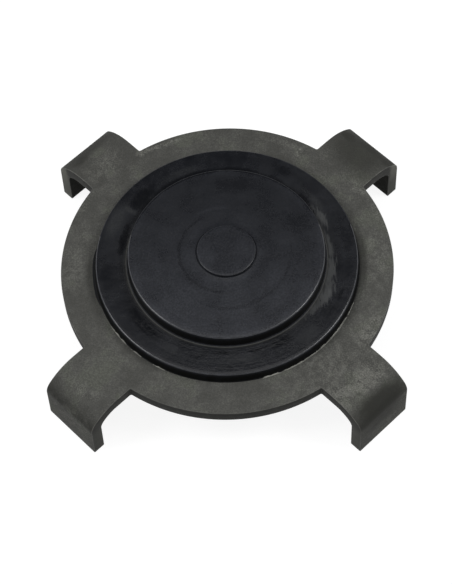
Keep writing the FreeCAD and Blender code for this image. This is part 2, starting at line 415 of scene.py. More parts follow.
# Rings on the plate, the lower disc, the upper disc and the button, and the radius of the last one
PLATE_RINGS, LOWER_RINGS, UPPER_RINGS, BUTTON_RINGS = 6, 8, 16, 8
LAST_RING = 1.0 * MM
LIP_WIDTH = 0.06 * MM
# The share of the groove's width that its outer side takes up
GROOVE_SLANT = 0.3


def disc_rings(sizes):
    """Rings of the top side from the rim to the middle, as radius and level"""
    top = sizes.plate_thickness
    rings = [(sizes.plate_radius, top)]
    rings += [(radius, top) for radius in evenly(
        sizes.plate_radius, sizes.lower_foot + FOOT_MARGIN, PLATE_RINGS)]
    rings.append((sizes.lower_foot, top))
    rings.append((sizes.lower_top, sizes.lower_level))
    rings += [(radius, sizes.lower_level) for radius in evenly(
        sizes.lower_top - TOP_MARGIN, sizes.upper_foot + FOOT_MARGIN, LOWER_RINGS)]
    rings.append((sizes.upper_foot, sizes.lower_level))
    rings.append((sizes.upper_top, sizes.upper_level))
    rings += [(radius, sizes.upper_level) for radius in evenly(
        sizes.upper_top - TOP_MARGIN, sizes.button_foot + GROOVE_MARGIN, UPPER_RINGS)]
    groove_edge = sizes.button_foot + sizes.groove_width
    groove_bottom = sizes.upper_level - sizes.groove_depth
    rings.append((groove_edge + LIP_WIDTH, sizes.upper_level + sizes.lip_height))
    rings.append((groove_edge, sizes.upper_level))
    rings.append((groove_edge - sizes.groove_width * GROOVE_SLANT, groove_bottom))
    rings.append((sizes.button_foot, groove_bottom))
    rings.append((sizes.button_top, sizes.button_level))
    rings += [(radius, sizes.button_level) for radius in evenly(
        sizes.button_top, LAST_RING, BUTTON_RINGS)]
    return rings


class MESH_OT_lift_pad_body(bpy.types.Operator):
    """Models the moulded pad with its discs and clips"""

    bl_idname = "mesh.lift_pad_body"
    bl_label = "Moulded pad"

    def execute(self, context):
        sizes = context.scene.pad_sizes
        start_alone()
        bpy.ops.mesh.primitive_circle_add(
            vertices=RIM_STEPS, radius=sizes.plate_radius, fill_type="NGON", location=ORIGIN)
        pad = name_piece("moulded_pad")
        for skin in (grey_skin, black_skin, wall_shade_skin, edge_highlight_skin, worn_highlight_skin, side_shade_skin, inner_skin):
            pad.data.materials.append(skin(context.scene))
        bpy.ops.object.mode_set(mode="EDIT")
        square_spans(pad, sizes)
        pick(pad, "FACE", lambda face: True)
        bpy.ops.mesh.extrude_region_move(
            TRANSFORM_OT_translate={"value": (0.0, 0.0, sizes.plate_thickness)})
        raise_rings(disc_rings(sizes), bpy.ops.mesh.extrude_region_move)
        face_outwards()
        extrude_clip(pad, sizes)
        copy_clip(pad, sizes)
        self.round_clip_roots(pad, sizes)
        self.round_outline(pad, sizes)
        for radius, level, rounding in (
                (sizes.lower_foot, sizes.plate_thickness, sizes.foot_rounding),
                (sizes.lower_top, sizes.lower_level, sizes.disc_rounding),
                (sizes.upper_foot, sizes.lower_level, sizes.foot_rounding),
                (sizes.upper_top, sizes.upper_level, sizes.disc_rounding),
                (sizes.button_top, sizes.button_level, sizes.button_rounding)):
            round_ring(pad, radius, level, rounding * EDGE_BEVEL, EDGE_STEPS)
        self.flatten_button(pad, sizes)
        face_outwards()
        bpy.ops.object.mode_set(mode="OBJECT")
        bpy.ops.object.shade_smooth_by_angle(angle=SMOOTH_BELOW)
        self.blacken_discs(pad, sizes)
        self.dress_outline(pad, sizes)
        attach(pad, BODY)
        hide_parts(CAD_NODE)
        return {"FINISHED"}

    def flatten_button(self, pad, sizes):
        """Pushes the button's top edge in to a nearly straight line on its far right side"""
        turn = sizes.chord_direction - VIEW_TURN
        middle = Vector((math.cos(turn), math.sin(turn), 0.0))
        level = sizes.button_level - sizes.button_rounding
        pick(pad, "VERT", lambda v: v.co.z > level and v.co.dot(middle) > sizes.chord_out)
        turn_about_axis(-turn)
        scale_to((CHORD_SQUEEZE, 1.0, 1.0), (sizes.chord_out, 0.0, 0.0))
        turn_about_axis(turn)

    def round_clip_roots(self, pad, sizes):
        root = rim_root(sizes)

        def is_root(edge):
            first, second = (v.co for v in edge.verts)
            upright = abs(first.z - second.z) > sizes.plate_thickness - LOOSE
            near, far = sorted((abs(first.x), abs(first.y)))
            return upright and abs(near - sizes.clip_half_width) < CLOSE and abs(far - root) < CLOSE
        found = pick(pad, "EDGE", is_root)
        if found != 8:
            raise RuntimeError("the pad has " + str(found) + " clip corners and not eight")
        round_edges(sizes.clip_root * ROOT_BEVEL, ROOT_STEPS)

    def round_outline(self, pad, sizes):
        """Rounds the sharp edges of the outline, above and below"""
        reach = sizes.plate_radius * OUTLINE_SHARE

        def is_outline(edge):
            if len(edge.link_faces) != 2 or min(distance_out(v.co) for v in edge.verts) < reach:
                return False
            return edge.calc_face_angle() > SHARP_FROM
        pick(pad, "EDGE", is_outline)
        round_edges(sizes.rim_rounding, OUTLINE_STEPS)

    def blacken_discs(self, pad, sizes):
        """Gives the discs their black skin, with a dull painted shade on the walls and a painted highlight
        on the edges
        """
        reach = sizes.lower_foot + 0.3 * MM
        for face in pad.data.polygons:
            out = distance_out(face.center)
            if out < reach and face.center.z > sizes.plate_thickness - CLOSE:
                face.material_index = self.disc_slot(face, out, sizes)

    def disc_slot(self, face, out, sizes):
        """The slot of a face on the discs. Their edges get a painted highlight only where they don't face
        away, and the walls' painted shade where they do.
        """
        if out < sizes.button_foot + sizes.groove_width:
            return WALL_SHADE_SLOT if face.center.z < sizes.upper_level - CLOSE else BLACK_SLOT
        if face.normal.z > LEVEL_FROM:
            return BLACK_SLOT
        far = Vector((math.sin(VIEW_TURN), math.cos(VIEW_TURN), 0.0))
        is_far = face.center.normalized().dot(far) > FAR_FROM
        at_foot = out > sizes.upper_foot and face.center.z > sizes.lower_level
        low = face.center.z < sizes.lower_level - sizes.foot_rounding - sizes.disc_rounding
        # Walls and edges that face away take the walls' painted shade; the other edges take a painted
        # highlight
        is_wall = low or is_far or at_foot or face.normal.z < STEEP_BELOW
        return WALL_SHADE_SLOT if is_wall else EDGE_HIGHLIGHT_SLOT

    def dress_outline(self, pad, sizes):
        """Gives the outline's rounded edges their worn and highlit skin, its upright sides their painted
        shade and the clips' inner faces their darker skin
        """
        places = [vertex.co for vertex in pad.data.vertices]
        root_reach = sizes.plate_radius + 1.5 * MM
        rim_reach = sizes.plate_radius * 1.003
        strip_width = sizes.rim_rounding * 0.6
        underside = -0.5 * MM
        for face in pad.data.polygons:
            out = distance_out(face.center)
            if out < sizes.plate_radius * OUTLINE_SHARE:
                continue
            corners = [places[index] for index in face.vertices]
            narrowest = min((a - b).length for a, b in zip(corners, corners[1:] + corners[:1]))
            lean = abs(face.normal.z)
            at_root = out < root_reach and lean < UPRIGHT
            outward = (face.normal.x * face.center.x + face.normal.y * face.center.y) / out
            across = abs(face.normal.x if abs(face.center.y) > abs(face.center.x) else face.normal.y)
            if narrowest < strip_width and not at_root:
                face.material_index = WORN_HIGHLIGHT_SLOT
            elif outward < -LEANING and face.center.z < underside:
                face.material_index = INNER_SLOT
            elif lean < LEANING and (across > SQUARE_ON or out < rim_reach):
                face.material_index = SIDE_SHADE_SLOT


# Steps round the flash, and the rings of its section: how far past the disc's foot and above the
# plate each lies, in millimetres
FLASH_STEPS = 900
FLASH_SECTION = (
    (-0.10, -0.30),
    (0.05, -0.08),
    (0.30, -0.06),
    (0.50, -0.08),
    (0.60, -0.30),
    (-0.10, -0.30),
)
# Vertices of the flash higher than this above the plate are its crest
CREST_FROM = -0.15 * MM
# The rough texture that lifts the crest: its grain, its strength and the value at which it does nothing
FLASH_GRAIN, FLASH_LIFT, FLASH_REST = 1.6 * MM, 0.75 * MM, 0.18
# Spans of the lower disc's foot that carry flash: direction, half length in degrees and height share.
# A share is cut off at 1, so a larger one gives the span a flat top.
FLASH_SPANS = (
    (214.0, 7.0, 0.8),
    (226.0, 4.0, 0.9),
    (238.0, 5.0, 0.5),
    (250.0, 8.0, 0.2),
    (290.0, 8.0, 1.8),
    (302.0, 7.0, 1.3),
    (312.0, 6.0, 1.2),
    (323.0, 8.0, 1.4),
    (334.0, 5.0, 0.6),
)


class MESH_OT_lift_pad_flash(bpy.types.Operator):
    """Models the thin ragged skin that the mould left at the lower disc's foot"""

    bl_idname = "mesh.lift_pad_flash"
    bl_label = "Flash"

    def execute(self, context):
        sizes = context.scene.pad_sizes
        foot, top = sizes.lower_foot, sizes.plate_thickness
        rings = [(foot + past * MM, top + above * MM) for past, above in FLASH_SECTION]
        radius, level = rings[0]
        start_alone()
        bpy.ops.mesh.primitive_circle_add(
            vertices=FLASH_STEPS, radius=radius, fill_type="NOTHING", location=(0.0, 0.0, level))
        flash = name_piece("foot_flash")
        bpy.ops.object.transform_apply(location=True, rotation=False, scale=False)
        bpy.ops.object.mode_set(mode="EDIT")
        raise_rings(rings, bpy.ops.mesh.extrude_edges_move)
        bpy.ops.mesh.select_all(action="SELECT")
        bpy.ops.mesh.remove_doubles(threshold=SAME_PLACE)
        face_outwards()
        bpy.ops.object.mode_set(mode="OBJECT")
        self.raise_crest(flash, top)
        bpy.ops.object.shade_smooth_by_angle(angle=FLASH_SMOOTH_BELOW)
        flash.data.materials.append(flash_skin(context.scene))
        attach(flash, BODY)
        return {"FINISHED"}

    def raise_crest(self, flash, top):
        """Lifts the upper rings by a rough texture wherever a span of flash lies"""
        crest = flash.vertex_groups.new(name="crest")
        for vertex in flash.data.vertices:
            if vertex.co.z < top + CREST_FROM:
                continue
            turn = math.degrees(math.atan2(vertex.co.y, vertex.co.x) + VIEW_TURN)
            weight = 0.0
            for middle, half_length, height in FLASH_SPANS:
                apart = abs((turn - middle + 180.0) % 360.0 - 180.0) / half_length
                weight = max(weight, height * max(0.0, 1.0 - apart ** 2))
            crest.add([vertex.index], weight, "REPLACE")
        rough = bpy.data.textures.new("flash_rough", "CLOUDS")
        rough.noise_scale = FLASH_GRAIN
        rough.noise_depth = 3
        lift = flash.modifiers.new("lift", "DISPLACE")
        lift.texture = rough
        lift.texture_coords = "LOCAL"
        lift.direction = "Z"
        lift.mid_level = FLASH_REST
        lift.strength = FLASH_LIFT
        lift.vertex_group = "crest"
        bpy.ops.object.modifier_apply(modifier=lift.name)


# Shader sums


class Signal:
    """A socket whose sums and products add Math nodes to its finish"""

    def __init__(self, finish, socket):
        self.finish = finish
        self.socket = socket

    def maths(self, operation, first, second):
        return self.finish.node("ShaderNodeMath", {"operation": operation}, {0: first, 1: second})

    def __add__(self, other):
        return self.maths("ADD", self, other)

    def __radd__(self, other):
        return self.maths("ADD", other, self)

    def __sub__(self, other):
        return self.maths("SUBTRACT", self, other)

    def __rsub__(self, other):
        return self.maths("SUBTRACT", other, self)

    def __mul__(self, other):
        return self.maths("MULTIPLY", self, other)

    def __rmul__(self, other):
        return self.maths("MULTIPLY", other, self)

    def __truediv__(self, other):
        return self.maths("DIVIDE", self, other)

    def __rtruediv__(self, other):
        return self.maths("DIVIDE", other, self)


class Finish:
    """A material, with short ways to add its nodes"""

    def __init__(self, name):
        self.material = bpy.data.materials.new(name)
        self.material.use_nodes = True
        self.tree = self.material.node_tree
        self.tree.nodes.clear()

    def node(self, kind, settings, sockets, output=0):
        """Adds a node, sets it up, fills or links its sockets and returns one output"""
        made = self.tree.nodes.new(kind)
        for name, value in settings.items():
            setattr(made, name, value)
        for name, value in sockets.items():
            if isinstance(value, Signal):
                self.tree.links.new(value.socket, made.inputs[name])
            else:
                made.inputs[name].default_value = value
        return Signal(self, made.outputs[output]) if len(made.outputs) else None

    def place(self):
        """The place on the pad in millimetres, turned so that the photograph's view looks along +Y"""
        here = self.node("ShaderNodeTexCoord", {}, {}, "Object")
        return self.node("ShaderNodeMapping", {}, {
            "Vector": here, "Rotation": (0.0, 0.0, VIEW_TURN), "Scale": (1 / MM,) * 3})

    def split(self, vector):
        made = self.node("ShaderNodeSeparateXYZ", {}, {"Vector": vector})
        outputs = made.socket.node.outputs
        return [Signal(self, outputs[name]) for name in ("X", "Y", "Z")]

    def join(self, x, y, z):
        return self.node("ShaderNodeCombineXYZ", {}, {"X": x, "Y": y, "Z": z})

    def size_of(self, vector):
        return self.node("ShaderNodeVectorMath", {"operation": "LENGTH"}, {0: vector}, "Value")

    def noise(self, place, scale, detail, roughness):
        return self.node("ShaderNodeTexNoise", {}, {
            "Vector": place, "Scale": scale, "Detail": detail, "Roughness": roughness}, "Fac")

    def ease(self, value, low, high):
        """Rises smoothly from 0 at low to 1 at high, or falls where low is above high"""
        if low > high:
            return 1 - self.ease(value, high, low)
        return self.node("ShaderNodeMapRange", {"interpolation_type": "SMOOTHSTEP"}, {
            "Value": value, "From Min": low, "From Max": high})

    def band(self, value, middle, half_width):
        """1 at the middle of a band and 0 at its sides"""
        apart = self.node("ShaderNodeMath", {"operation": "ABSOLUTE"}, {0: value - middle})
        return self.ease(apart, half_width, 0.0)

    def blend(self, mask, first, second):
        """The first colour where the mask is 0 and the second where it is 1"""
        return self.node("ShaderNodeMix", {"data_type": "RGBA"}, {0: mask, 6: first, 7: second}, 2)

    def largest(self, first, second):
        return self.node("ShaderNodeMath", {"operation": "MAXIMUM"}, {0: first, 1: second})

    def bump(self, height, distance, strength):
        return self.node("ShaderNodeBump", {}, {
            "Height": height, "Distance": distance, "Strength": strength})

    def close(self, paint, roughness, specular, normal=None):
        """Ends the finish with its shader and returns the material"""
        sockets = {"Base Color": paint, "Roughness": roughness, "Specular IOR Level": specular}
        if normal:
            sockets["Normal"] = normal
        shader = self.node("ShaderNodeBsdfPrincipled", {}, sockets)
        self.node("ShaderNodeOutputMaterial", {}, {"Surface": shader})
        return self.material


def opaque(value):
    return tuple(value) + (1.0,)


class Skin(Finish):
    """A finish with the places and noises that the pad's skins share"""

    def __init__(self, name):
        super().__init__(name)
        self.here = self.place()
        self.x, self.y, self.z = self.split(self.here)
        self.radius = self.size_of(self.join(self.x, self.y, 0.0))
        self.cloud = self.noise(self.here, 0.075, 5.0, 0.6)
        self.wisp = self.noise(self.here, 0.35, 4.0, 0.6)
        self.grain = self.noise(self.here, 1.5, 3.0, 0.65)

    def facing(self, degrees):
        """The cosine of the angle between a point's direction from the axis and a given one"""
        turn = math.radians(degrees)
        return (self.x * math.cos(turn) + self.y * math.sin(turn)) / self.radius

    def sector(self, degrees, half_width, soft):
        """1 within a sector round the axis and 0 outside it"""
        inner = math.cos(math.radians(half_width - soft))
        outer = math.cos(math.radians(half_width + soft))
        return self.ease(self.facing(degrees), outer, inner)

    def spot(self, degrees, radius, along, across, ragged=None):
        """A ragged patch at a direction and radius, with its half sizes round and across the ring"""
        turn = math.radians(degrees)
        past = (self.y * math.cos(turn) - self.x * math.sin(turn)) / along
        out = (self.radius - radius) / across
        apart = self.size_of(self.join(past, out, 0.0))
        apart = apart + ((ragged or self.wisp) - 0.5) * 1.5
        return self.ease(apart, 1.25, 0.35) * self.ease(self.facing(degrees), 0.2, 0.4)

    def patches(self, mask, rows, ragged=None):
        """The largest of a mask and of all the patches in a list"""
        for degrees, radius, along, across, strength in rows:
            patch = self.spot(degrees, radius, along, across, ragged) * strength
            mask = self.largest(mask, patch)
        return mask

    def arc(self, radius, half_width, degrees, half_sector, soft):
        """A wavering mark round the axis within a sector"""
        ring = self.band(self.radius + self.wisp * 1.5, radius + 0.75, half_width)
        return ring * self.sector(degrees, half_sector, soft)

    def tint(self, paint, mask, value):
        """Lays a colour over the paint wherever the mask is above 0"""
        return self.blend(mask, paint, opaque(value))

    def tint_patches(self, paint, rows, over, value, ragged=None):
        """Lays a colour over the paint at each patch in a list, as far as the mask over it allows"""
        for degrees, radius, along, across, strength in rows:
            patch = self.spot(degrees, radius, along, across, ragged)
            paint = self.tint(paint, patch * over * strength, value)
        return paint


def grey_paint(skin, colours):
    """The matte grey, painted darker on the far side as shade, that the plate, the clips and their worn
    edges share
    """
    olive, dust = colours.grey_dark, colours.grey_dust_and_highlight
    # Painted shade: the grey darkens towards the far side of the pad
    paint = skin.tint(opaque(colours.grey), skin.ease(skin.y, -10.0, 55.0) * 0.6, colours.grey_far_shade)
    paint = skin.tint(paint, skin.ease(skin.cloud, 0.42, 0.60) * 0.45, olive)
    paint = skin.tint(paint, skin.ease(skin.wisp, 0.42, 0.60) * 0.27, olive)
    paint = skin.tint(paint, skin.ease(skin.cloud, 0.48, 0.38) * 0.6, colours.moss)
    paint = skin.tint(paint, skin.ease(skin.grain, 0.42, 0.60) * 0.45, olive)
    # Pale dust, thin everywhere and thick in a few patches, always broken up into specks
    specks = skin.ease(skin.noise(skin.here, 2.1, 2.0, 0.7), 0.47, 0.62)
    blots = skin.ease(skin.wisp, 0.54, 0.42)
    paint = skin.tint(paint, specks * (skin.ease(skin.cloud, 0.60, 0.42) * 0.18 + 0.09), dust)
    paint = skin.tint_patches(paint, GREY_DUST, specks * 0.9 + blots * 0.45, dust)
    # Olive stains lie over the dust, and fade out down the clips' legs
    above = skin.ease(skin.z, -14.0, -8.0)
    smooth = skin.cloud * 0.6 + skin.wisp * 0.4
    paint = skin.tint_patches(paint, GREY_STAINS, above, colours.stain, smooth)
    # Blotches in the same olive run along the bends of the near clips
    bend = skin.band(skin.z + skin.wisp * 5.0, BEND_STAIN_LEVEL, BEND_STAIN_REACH)
    near_side = skin.ease(skin.y, -20.0, -50.0)
    blotches = skin.cloud * 0.8 + skin.wisp * 1.6 - 0.55
    return skin.tint(paint, bend * near_side * blotches, colours.stain)


def grey_skin(scene):
    """Matte grey skin of the plate and clips, with olive patches and dry dust"""
    colours = scene.pad_colours
    skin = Skin("grey_rubber_skin")
    paint = grey_paint(skin, colours)
    # The disc's black skin creeps out over the plate at its foot, most on the left
    foot = scene.pad_sizes.lower_foot / MM
    creep = skin.sector(183.0, 13.0, 5.0) * 0.95 + skin.wisp * 0.35
    # Painted shade: beside the lower disc's foot on the right, the plate darkens towards the walls'
    # near-black
    shade = skin.ease(skin.radius, foot + 1.5, foot) * skin.sector(2.0, 30.0, 12.0)
    paint = skin.tint(paint, shade * 0.75, colours.wall_shade)
    paint = skin.tint(paint, skin.ease(skin.radius - creep, foot + 0.05, foot - 0.20), colours.black_deep_and_shadow)
    rough = (skin.grain - 0.5) * 0.2 + colours.grey_roughness
    pitted = skin.bump(skin.grain + skin.wisp * 2.0, 0.08 * MM, 0.8)
    return skin.close(paint, rough, 0.25, pitted)


def worn_highlight_skin(scene):
    """Grey skin painted paler along the outline's edges, most on the clips, partly as wear and partly as a
    painted highlight
    """
    colours = scene.pad_colours
    skin = Skin("worn_highlight_rubber_edge")
    # Wear and painted highlight: the edges are paler where the noise allows, most on the clips
    highlight_and_wear = skin.ease(skin.wisp, 0.35, 0.60) * (skin.ease(skin.radius, 62.5, 66.0) * 0.45 + 0.08)
    highlight_and_wear = highlight_and_wear * skin.ease(skin.z, -4.5, -1.5)
    paint = skin.tint(grey_paint(skin, colours), highlight_and_wear, colours.grey_dust_and_highlight)
    return skin.close(paint, 0.6, 0.4)


def side_shade_skin(scene):
    """Darker grey of the upright sides of the rim and clips, a copy of the grey skin darkened as painted
    shade
    """
    colours = scene.pad_colours
    skin = Skin("rubber_side_shade")
    # Painted shade: the upright sides are a darker grey, mottled with olive and plain grey
    paint = skin.tint(opaque(colours.side_shade), skin.ease(skin.grain, 0.40, 0.62) * 0.5, colours.grey_dark)
    paint = skin.tint(paint, skin.ease(skin.wisp, 0.45, 0.65) * 0.35, colours.grey)
    # The legs' sides are painted paler, partly as dust and partly as painted light, most on the far left
    far_left = skin.ease(skin.y, 0.0, 30.0) * skin.ease(skin.x, 20.0, -20.0)
    side = far_left * 0.5 + skin.ease(skin.x, -10.0, 10.0) * 0.12 + 0.24
    leg = skin.ease(skin.z + skin.wisp * 4.0, 1.0, -6.0) * side
    paint = skin.tint(paint, leg, colours.leg_dust_and_light)
    # Painted highlight with some wear: pale corners where the far clips bend down
    corners = skin.patches(0.0, WORN_HIGHLIT_CORNERS) * skin.ease(skin.z, -12.0, -4.0)
    paint = skin.tint(paint, corners * (skin.wisp + 0.5), colours.grey_dust_and_highlight)
    return skin.close(paint, 0.8, 0.25)


def inner_skin(scene):
    """Darker skin of the clips' inner faces, the olive grey mottled with plain grey, without dust"""
    colours = scene.pad_colours
    skin = Skin("clip_inner_skin")
    paint = skin.tint(opaque(colours.grey_dark), skin.ease(skin.wisp, 0.40, 0.62) * 0.5, colours.grey)
    return skin.close(paint, 0.85, 0.10)


# A patch is given as its direction, radius, half length, half width and strength. Lengths are in
# millimetres, and directions in degrees as the photograph's view sees them, with 270 nearest.

# Olive stains on the grey skin, most on the clips and beside the lower disc
GREY_STAINS = (
    (41.9, 74.0, 14.0, 12.0, 0.80),
    (48.5, 77.3, 4.5, 3.0, 1.0),
    (40.5, 79.3, 7.0, 2.6, 1.0),
    (34.5, 79.3, 3.5, 3.0, 1.0),
    (0.0, 51.8, 16.0, 1.9, 0.50),
    (183.0, 52.4, 13.0, 1.8, 0.35),
    (311.5, 81.0, 13.5, 5.2, 1.0),
    (133.0, 79.3, 14.0, 4.0, 0.75),
    (137.0, 76.5, 4.5, 2.5, 0.8),
    (60.0, 53.0, 20.0, 1.5, 0.20),
)
# Places on the grey skin where dust lies thicker
GREY_DUST = (
    (312.0, 62.0, 24.0, 14.0, 0.22),
    (0.0, 57.5, 13.0, 5.0, 0.25),
    (329.0, 61.0, 7.0, 2.8, 0.60),
    (314.0, 71.5, 10.0, 5.5, 0.55),
    (304.0, 71.0, 4.0, 7.0, 0.42),
    (315.0, 83.6, 12.0, 2.4, 0.55),
    (223.0, 83.6, 12.0, 2.2, 0.40),
    (222.0, 74.5, 7.0, 3.0, 0.35),
    (176.0, 58.5, 14.0, 3.5, 0.20),
    (134.0, 68.0, 9.0, 6.0, 0.28),
    (120.0, 62.5, 3.0, 2.0, 0.50),
    (31.0, 61.5, 5.0, 2.5, 0.45),
    (111.0, 61.5, 9.0, 1.2, 0.55),
    (66.0, 60.5, 9.0, 2.0, 0.25),
    (19.0, 62.0, 4.0, 1.5, 0.35),
    (150.0, 62.0, 8.0, 1.5, 0.30),
    (309.0, 59.0, 8.0, 5.0, 0.14),
    (58.5, 58.5, 0.9, 3.0, 0.60),
    (14.5, 51.5, 0.8, 0.6, 0.80),
)
# Pale places on the far clips' sides, where they bend down: partly wear and partly painted highlight
WORN_HIGHLIT_CORNERS = (
    (33.2, 81.3, 6.0, 2.4, 1.0),
    (140.6, 81.3, 6.0, 2.4, 1.0),
)
# Height and half height, in millimetres, of the stained band on the near clips' bends
BEND_STAIN_LEVEL, BEND_STAIN_REACH = 1.0, 4.5
# Darker patches of the black skin, most round the upper disc's foot; those at 98, 95 and 55 degrees are a
# painted shadow behind and along the upper disc's far side
BLACK_STAINS_AND_SHADOW = (
    (136.0, 43.0, 7.5, 3.4, 1.0),
    (163.0, 40.6, 10.0, 1.9, 1.0),
    (220.0, 41.8, 10.0, 2.9, 1.0),
    (296.0, 41.2, 5.5, 1.6, 1.0),
    (283.0, 41.0, 6.0, 0.9, 1.0),
    (265.5, 40.7, 4.0, 0.9, 1.0),
    (98.0, 39.8, 38.0, 2.1, 1.0),
    (95.0, 37.0, 40.0, 0.8, 0.9),
    (55.0, 39.5, 9.0, 1.1, 0.8),
    (8.0, 46.5, 9.0, 2.4, 0.3),
    (57.0, 46.0, 7.0, 2.5, 0.6),
    (337.0, 45.7, 3.0, 1.2, 0.7),
    (352.0, 46.5, 6.0, 2.2, 0.3),
    (188.0, 46.0, 8.0, 3.0, 0.4),
    (84.6, 30.8, 8.0, 4.5, 0.35),
    (22.2, 30.1, 5.0, 6.0, 0.30),
)
# Pale wisps on the lower disc
PALE_WISPS = (
    (155.0, 46.0, 9.0, 3.2, 0.16),
    (146.5, 43.5, 1.5, 3.5, 0.18),
    (112.0, 43.0, 9.0, 2.0, 0.10),
    (274.0, 43.5, 9.0, 2.2, 0.10),
    (309.0, 45.0, 9.0, 3.5, 0.09),
    (239.0, 43.5, 4.0, 2.2, 0.07),
    (35.0, 42.5, 8.0, 1.6, 0.12),
)
# Brushed smears on the right of the lower disc
SMEARS = (
    (23.5, 40.5, 6.0, 1.9, 0.75),
    (3.0, 39.5, 8.0, 1.0, 0.75),
    (350.0, 39.8, 8.5, 1.9, 0.80),
    (335.0, 40.7, 6.5, 2.6, 0.80),
    (323.0, 39.5, 4.5, 1.3, 0.60),
)
# Radius, half width, middle direction, half sector and strength of the swirl marks round the button
DARK_SWIRLS = (
    (17.9, 1.1, 195.0, 75.0, 0.35),
    (24.5, 1.4, 300.0, 50.0, 0.22),
)
LIGHT_SWIRLS = (
    (14.4, 2.4, 200.0, 70.0, 0.11),
    (19.9, 1.0, 105.0, 14.0, 0.125),
    (13.2, 1.2, 300.0, 60.0, 0.1),
)
# Turn and scale, each way, of the noise that draws the brush strokes of the smears
STROKE_TURN, STROKE_SCALE = math.radians(-20.0), (1.5, 0.22, 0.5)


def black_skin(scene):
    """Smoother blue-black skin of the discs, with darker patches, a painted shadow by the upper disc's far
    side, a dust layer that is partly painted sheen, and a partly painted highlight at the upper disc's
    foot
    """
    sizes, colours = scene.pad_sizes, scene.pad_colours
    skin = Skin("black_rubber_skin")
    on_upper = skin.ease(skin.z, 12.0, 13.6)
    on_lower = 1 - on_upper
    soft = skin.noise(skin.here, 0.09, 2.0, 0.5)
    mottle = skin.ease(soft, 0.35, 0.65)
    flecks = skin.ease(skin.wisp, 0.40, 0.62)
    dots = skin.ease(skin.grain, 0.38, 0.66)
    around = skin.join(skin.x / skin.radius * 1.6, skin.y / skin.radius * 1.6, skin.radius * 0.55)
    swirl = skin.ease(skin.noise(around, 1.0, 4.0, 0.65), 0.36, 0.64)
    stroke = skin.node("ShaderNodeMapping", {}, {
        "Vector": skin.here, "Rotation": (0.0, 0.0, STROKE_TURN), "Scale": STROKE_SCALE})
    strokes = skin.ease(skin.noise(stroke, 1.0, 3.0, 0.6), 0.34, 0.62)
    # A painted sheen makes the upper disc paler towards the pad's near side; the dust layer also lies
    # along the disc's margin and on the button
    upper_top, button = sizes.upper_top / MM, sizes.button_foot / MM
    margin = skin.ease(skin.radius, upper_top - 4.0, upper_top - 0.5)
    near = skin.ease(skin.y, 38.0, -42.0)
    film_and_sheen = (near * 0.32 + margin * 0.10 + 0.08) * on_upper + flecks * on_lower * 0.05
    film_and_sheen = film_and_sheen + skin.ease(skin.radius, button + 0.2, button - 0.2) * 0.09
    film_and_sheen = film_and_sheen * (mottle * 0.4 + 0.8) * (swirl * 0.2 + 0.9) * (dots * 0.9 + 0.55)
    for *mark, strength in LIGHT_SWIRLS:
        film_and_sheen = film_and_sheen + skin.arc(*mark, 12.0) * on_upper * strength
    wisps = skin.patches(0.0, PALE_WISPS)
    deep_and_shadow = skin.ease(soft, 0.50, 0.30) * (on_lower * 0.25 + 0.10)
    smooth = soft * 0.65 + skin.wisp * 0.35
    # Painted shadow: the patches at 98, 95 and 55 degrees darken the discs behind and along the upper
    # disc's far side
    deep_and_shadow = skin.patches(deep_and_shadow, BLACK_STAINS_AND_SHADOW, smooth)
    for *mark, strength in DARK_SWIRLS:
        deep_and_shadow = skin.largest(deep_and_shadow, skin.arc(*mark, 14.0) * on_upper * strength)
    paint = skin.tint(opaque(colours.black), film_and_sheen * (1 - deep_and_shadow * 0.8), colours.film_and_sheen)
    paint = skin.tint(paint, wisps * on_lower * (dots * 0.6 + 0.7), colours.haze)
    paint = skin.tint(paint, deep_and_shadow * 0.8, colours.black_deep_and_shadow)
    # A pale olive line at the upper disc's foot, partly dried smears and partly a painted highlight of the
    # foot's rounding, and brushed smears beside it on the right
    foot = sizes.upper_foot / MM
    line = skin.ease(skin.radius, foot + 0.95, foot + 0.35) * skin.sector(275.0, 122.0, 14.0)
    halo = skin.ease(skin.radius + skin.wisp * 1.6, foot + 2.9, foot + 0.7)
    halo = halo * skin.sector(275.0, 112.0, 18.0)
    smear_and_highlight = skin.largest(line * 0.9, halo * (1 - deep_and_shadow) * 0.35 * (skin.wisp + 0.5)) * on_lower
    paint = skin.tint(paint, smear_and_highlight, colours.smear_and_highlight)
    haze = skin.patches(0.0, SMEARS, strokes * 0.45 + skin.wisp * 0.55)
    haze = haze * (strokes * 0.3 + 0.7) * skin.ease(skin.radius, foot + 0.3, foot + 1.2) * on_lower
    paint = skin.tint(paint, haze, colours.haze)
    # The marks and both sides are duller, and the near side and the deep patches glossier
    gloss = (mottle - 0.5) * 0.03 + (flecks - 0.5) * (on_lower * 0.02 + 0.01) + (dots - 0.5) * 0.02
    gloss = gloss + (swirl - 0.5) * on_upper * 0.012 + on_upper * 0.05 + (smear_and_highlight + haze + wisps) * 0.15
    sides = skin.largest(skin.sector(190.0, 60.0, 30.0), skin.sector(5.0, 60.0, 30.0))
    gloss = gloss - near * on_lower * 0.11 - deep_and_shadow * 0.14 + sides * on_lower * 0.08
    pitted = skin.bump(skin.grain + skin.wisp * 2.0 + swirl * 0.3, 0.04 * MM, 0.7)
    return skin.close(paint, gloss + colours.black_roughness, 0.35, pitted)


def edge_highlight_skin(scene):
    """Top edges of the discs that don't face away, painted paler as a highlight with a worn look, and a
    little shinier than the faces
    """
    colours = scene.pad_colours
    skin = Skin("disc_edge_highlight_skin")
    # Painted highlight: a paler, uneven layer over the edges
    highlight_and_wear = skin.ease(skin.wisp, 0.35, 0.65) * 0.5 + 0.2
    paint = skin.tint(opaque(colours.black), highlight_and_wear, colours.film_and_sheen)
    return skin.close(paint, skin.grain * 0.15 + 0.22, 0.6)


